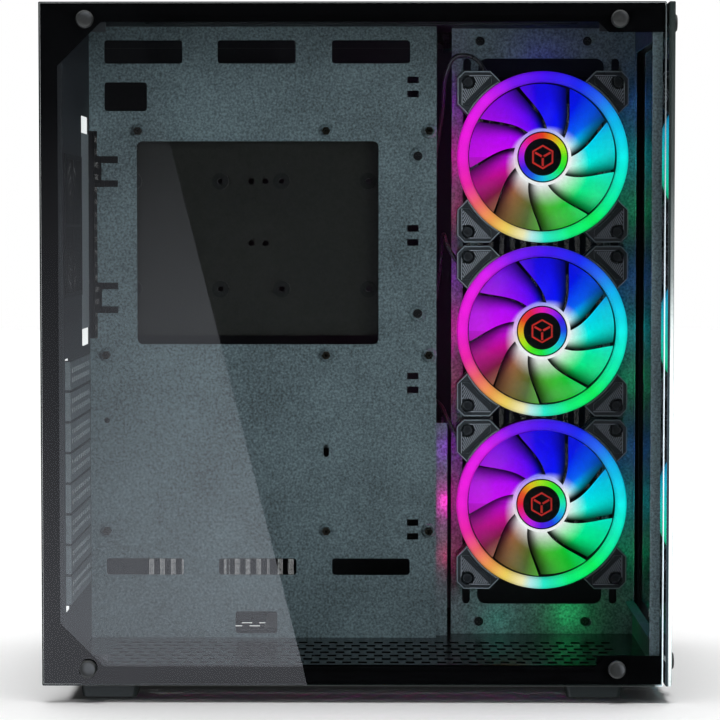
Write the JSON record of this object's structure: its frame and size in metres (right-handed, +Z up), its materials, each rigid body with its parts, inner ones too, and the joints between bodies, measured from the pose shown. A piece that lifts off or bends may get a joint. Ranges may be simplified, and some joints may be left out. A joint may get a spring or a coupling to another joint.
{
  "type": "desktop computer tower",
  "caption": "Empty dual-chamber desktop computer case with glass side and front, knob-held panes, ring-lit fans on a recessed bracket and tapered feet.",
  "frame": {"origin": "on the ground, in the middle of the object's box", "axes": "+X to the front, -Y to the side glass, +Z up"},
  "size_m": [0.4112, 0.276, 0.451],
  "materials": {
    "smoked_glass": "polished tempered glass, lightly smoked",
    "black_print": "black ceramic print",
    "knob_metal": "dark anodised with a bright bevel",
    "black_rubber": "matt",
    "plated_steel": "zinc plated",
    "brass_standoff": "blackened brass",
    "dark_plate": "black powder coat",
    "black_screw": "black zinc",
    "foot_plastic": "moulded, fine texture",
    "filter_mesh": "woven nylon in a magnetic rim",
    "controller_plastic": "moulded",
    "lead_sleeve": "black sleeve",
    "panel_black": "black powder coat",
    "bezel_plastic": "satin",
    "button_plastic": "satin",
    "circuit_board": "solder mask",
    "socket_metal": "plated",
    "caddy_plastic": "moulded",
    "pad_rubber": "ribbed",
    "motor_metal": "dull",
    "powder_coat": "dark grey powder coat with fine texture",
    "fan_plastic": "moulded",
    "light_ring": "frosted diffuser lit from inside",
    "rotor_plastic": "translucent white, lit by the ring",
    "cap_plastic": "black"
  },
  "bodies": {
    "chassis": {"audio_jacks": "bezel_plastic", "bottom_panel": "powder_coat", "chassis_screws": "black_screw", "drive_caddies": "caddy_plastic", "drive_cage": "powder_coat", "drive_grommets": "black_rubber", "drive_plate": "dark_plate", "drive_plate_stays": "plated_steel", "expansion_slot_covers": "powder_coat", "fan_1_frame": "fan_plastic", "fan_1_light_ring": "light_ring", "fan_2_frame": "fan_plastic", "fan_2_light_ring": "light_ring", "fan_3_frame": "fan_plastic", "fan_3_light_ring": "light_ring", "fan_bracket": "powder_coat", "fan_controller": "controller_plastic", "fan_corner_pads": "pad_rubber", "fan_lead_plugs": "controller_plastic", "fan_leads": "lead_sleeve", "fan_motors": "motor_metal", "fan_screws": "black_screw", "feet": "foot_plastic", "foot_pads": "black_rubber", "front_frame": "powder_coat", "glass_posts": "plated_steel", "io_bezel": "bezel_plastic", "io_board": "circuit_board", "motherboard_standoffs": "brass_standoff", "motherboard_tray": "powder_coat", "psu_bracket": "powder_coat", "psu_pads": "black_rubber", "rear_panel": "powder_coat", "slot_screws": "black_screw", "top_panel": "panel_black", "usb_sockets": "socket_metal"},
    "side_glass_panel": {"side_glass": "smoked_glass", "side_glass_border": "black_print", "side_glass_washers": "black_rubber"},
    "side_knobs": {"side_glass_knobs": "knob_metal"},
    "front_glass_panel": {"front_glass": "smoked_glass", "front_glass_border": "black_print", "front_glass_washers": "black_rubber"},
    "front_knobs": {"front_glass_knobs": "knob_metal"},
    "right_panel": {"right_side_panel": "panel_black"},
    "thumbscrews": {"panel_thumbscrews": "knob_metal"},
    "power_button": {"power_button": "button_plastic"},
    "reset_button": {"reset_button": "button_plastic"},
    "light_mode_button": {"light_mode_button": "button_plastic"},
    "roof_filter": {"top_dust_filter": "filter_mesh"},
    "floor_filter": {"bottom_dust_filter": "filter_mesh"},
    "rotor_1": {"fan_1_rotor": "rotor_plastic", "fan_1_hub_cap": "cap_plastic", "fan_1_hub_light": "light_ring"},
    "rotor_2": {"fan_2_rotor": "rotor_plastic", "fan_2_hub_cap": "cap_plastic", "fan_2_hub_light": "light_ring"},
    "rotor_3": {"fan_3_rotor": "rotor_plastic", "fan_3_hub_cap": "cap_plastic", "fan_3_hub_light": "light_ring"}
  },
  "joints": [
    {"name": "side_glass_off", "type": "slide", "parent": "chassis", "child": "side_glass_panel", "axis": [0, -1, 0], "range_m": [0, 0.06]},
    {"name": "side_knobs_out", "type": "slide", "parent": "side_glass_panel", "child": "side_knobs", "axis": [0, -1, 0], "range_m": [0, 0.018]},
    {"name": "front_glass_off", "type": "slide", "parent": "chassis", "child": "front_glass_panel", "axis": [1, 0, 0], "range_m": [0, 0.06]},
    {"name": "front_knobs_out", "type": "slide", "parent": "front_glass_panel", "child": "front_knobs", "axis": [1, 0, 0], "range_m": [0, 0.012]},
    {"name": "right_panel_slide", "type": "slide", "parent": "chassis", "child": "right_panel", "axis": [-1, 0, 0], "range_m": [0, 0.025]},
    {"name": "thumbscrews_out", "type": "slide", "parent": "right_panel", "child": "thumbscrews", "axis": [-1, 0, 0], "range_m": [0, 0.008]},
    {"name": "power_press", "type": "slide", "parent": "chassis", "child": "power_button", "axis": [0, 0, -1], "range_m": [0, 0.0015], "stiffness_N_per_m": 400},
    {"name": "reset_press", "type": "slide", "parent": "chassis", "child": "reset_button", "axis": [0, 0, -1], "range_m": [0, 0.0015], "stiffness_N_per_m": 400},
    {"name": "light_mode_press", "type": "slide", "parent": "chassis", "child": "light_mode_button", "axis": [0, 0, -1], "range_m": [0, 0.0015], "stiffness_N_per_m": 400},
    {"name": "roof_filter_lift", "type": "slide", "parent": "chassis", "child": "roof_filter", "axis": [0, 0, 1], "range_m": [0, 0.06]},
    {"name": "floor_filter_slide", "type": "slide", "parent": "chassis", "child": "floor_filter", "axis": [-1, 0, 0], "range_m": [0, 0.3]},
    {"name": "fan_1_spin", "type": "hinge", "parent": "chassis", "child": "rotor_1", "pos_m": [0.1267, 0.0415, 0.3562], "axis": [0, -1, 0], "continuous": true},
    {"name": "fan_2_spin", "type": "hinge", "parent": "chassis", "child": "rotor_2", "pos_m": [0.1267, 0.0415, 0.2339], "axis": [0, -1, 0], "continuous": true},
    {"name": "fan_3_spin", "type": "hinge", "parent": "chassis", "child": "rotor_3", "pos_m": [0.1267, 0.0415, 0.1116], "axis": [0, -1, 0], "continuous": true}
  ]
}
